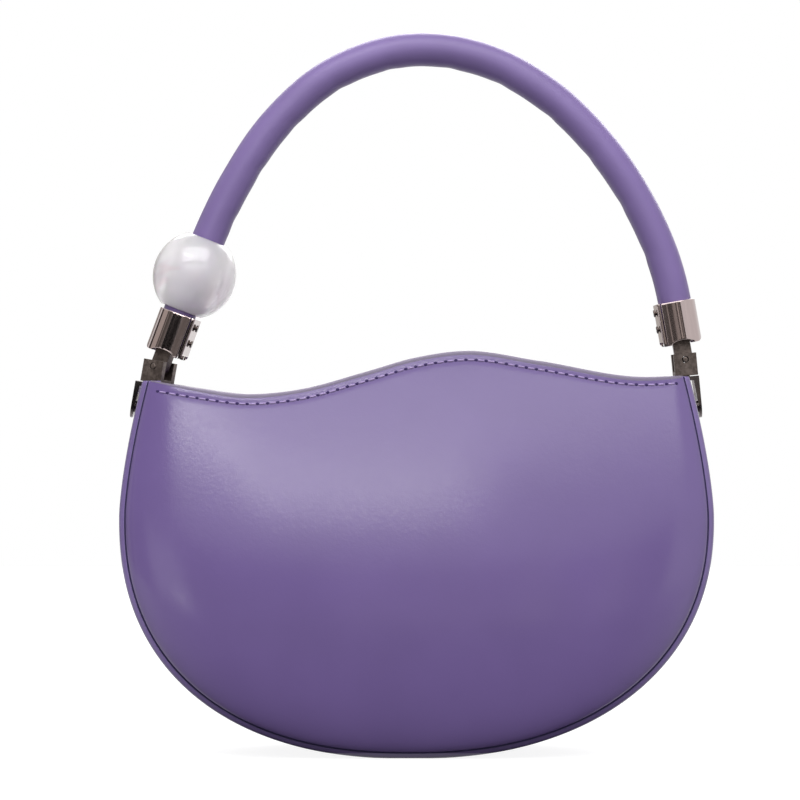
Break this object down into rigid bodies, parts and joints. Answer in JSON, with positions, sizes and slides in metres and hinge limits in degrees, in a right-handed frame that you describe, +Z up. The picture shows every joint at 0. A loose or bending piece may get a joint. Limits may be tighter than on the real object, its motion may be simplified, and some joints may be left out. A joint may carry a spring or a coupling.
{
  "type": "handbag",
  "caption": "Small structured leather handbag with a wavy rim, bulged panels, recessed zip and a round padded top handle on hinged metal brackets, with a bead threaded on it.",
  "frame": {"origin": "middle of the bounding box, on the surface that the bag stands on", "axes": "+Z up, the front of the bag faces -Y, +X runs to the right seen from the front"},
  "size_m": [0.224, 0.0714, 0.2722],
  "materials": {
    "purple_leather": "semi-gloss smooth leather",
    "inner_leather": "matte leather",
    "lining_fabric": "plain woven lining",
    "zip_tape": "woven tape with moulded teeth",
    "stiffener_board": "fibre board",
    "rope_core": "twisted cotton rope",
    "pearl_acrylic": "milky pearlescent acrylic",
    "polished_nickel": "polished nickel",
    "satin_gunmetal": "satin dark nickel"
  },
  "bodies": {
    "bag": {"front_panel": "purple_leather", "back_panel": "purple_leather", "gusset": "purple_leather", "facing_front": "inner_leather", "facing_back": "inner_leather", "zip_tape_front": "zip_tape", "zip_tape_back": "zip_tape", "zip_tab_left": "purple_leather", "zip_tab_right": "purple_leather", "base_board": "stiffener_board", "lining": "lining_fabric", "slip_pocket": "lining_fabric"},
    "zip_runner": {"zip_slider": "polished_nickel"},
    "puller": {"zip_pull": "polished_nickel"},
    "handle": {"handle_cover": "purple_leather", "handle_core": "rope_core", "side_bracket_left": "satin_gunmetal", "bracket_screw_left": "satin_gunmetal", "clevis_left": "satin_gunmetal", "clevis_pin_left": "polished_nickel", "tongue_left": "satin_gunmetal", "ferrule_left": "polished_nickel", "ferrule_plate_left": "polished_nickel", "ferrule_screw_left_1": "satin_gunmetal", "ferrule_screw_left_2": "satin_gunmetal", "side_bracket_right": "satin_gunmetal", "bracket_screw_right": "satin_gunmetal", "clevis_right": "satin_gunmetal", "clevis_pin_right": "polished_nickel", "tongue_right": "satin_gunmetal", "ferrule_right": "polished_nickel", "ferrule_plate_right": "polished_nickel", "ferrule_screw_right_1": "satin_gunmetal", "ferrule_screw_right_2": "satin_gunmetal"},
    "bead_ring": {"bead": "pearl_acrylic"}
  },
  "joints": [
    {"name": "handle_swing", "type": "hinge", "parent": "bag", "child": "handle", "pos_m": [0, 0, 0.1304], "axis": [1, 0, 0], "range_deg": [-18, 18]},
    {"name": "bead_spin", "type": "hinge", "parent": "handle", "child": "bead_ring", "pos_m": [-0.08427, 0, 0.1802], "axis": [0.3637, 0, 0.9315], "continuous": true},
    {"name": "zip_slide", "type": "slide", "parent": "bag", "child": "zip_runner", "axis": [1, 0, 0], "range_m": [-0.148, 0]},
    {"name": "zip_pull_flip", "type": "hinge", "parent": "zip_runner", "child": "puller", "pos_m": [0.074, 0, 0.12855], "axis": [0, 1, 0], "range_deg": [0, 170]}
  ]
}
